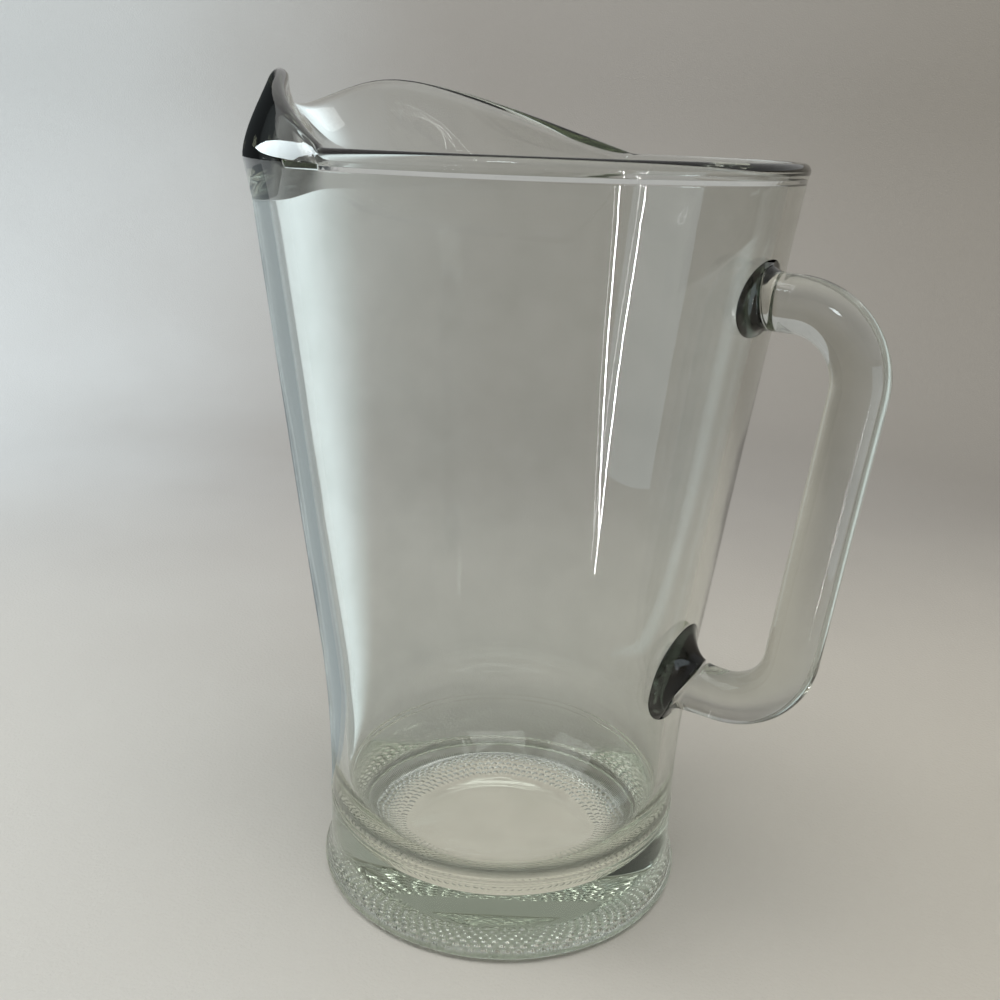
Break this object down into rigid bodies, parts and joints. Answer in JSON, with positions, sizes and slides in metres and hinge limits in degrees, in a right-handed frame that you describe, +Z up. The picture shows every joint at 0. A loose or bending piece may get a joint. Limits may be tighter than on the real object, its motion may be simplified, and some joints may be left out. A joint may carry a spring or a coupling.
{
  "type": "beer pitcher",
  "caption": "Tapered clear glass pitcher with a thick footed base, a pinched pouring lip and a solid glass rod handle, for serving beer or water.",
  "frame": {"origin": "on the table, at the middle of the foot, on the body's axis", "axes": "+Z up along the body's axis, +X towards the handle, -X towards the pouring lip"},
  "size_m": [0.1835, 0.1424, 0.2279],
  "materials": {
    "body_glass": "clear pressed glass, faint grey-green tint, stippled bearing ring under the foot",
    "handle_glass": "clear fire-polished glass rod"
  },
  "bodies": {
    "root": {"body": "body_glass", "handle": "handle_glass", "upper_handle_pad": "handle_glass", "lower_handle_pad": "handle_glass"}
  },
  "joints": []
}
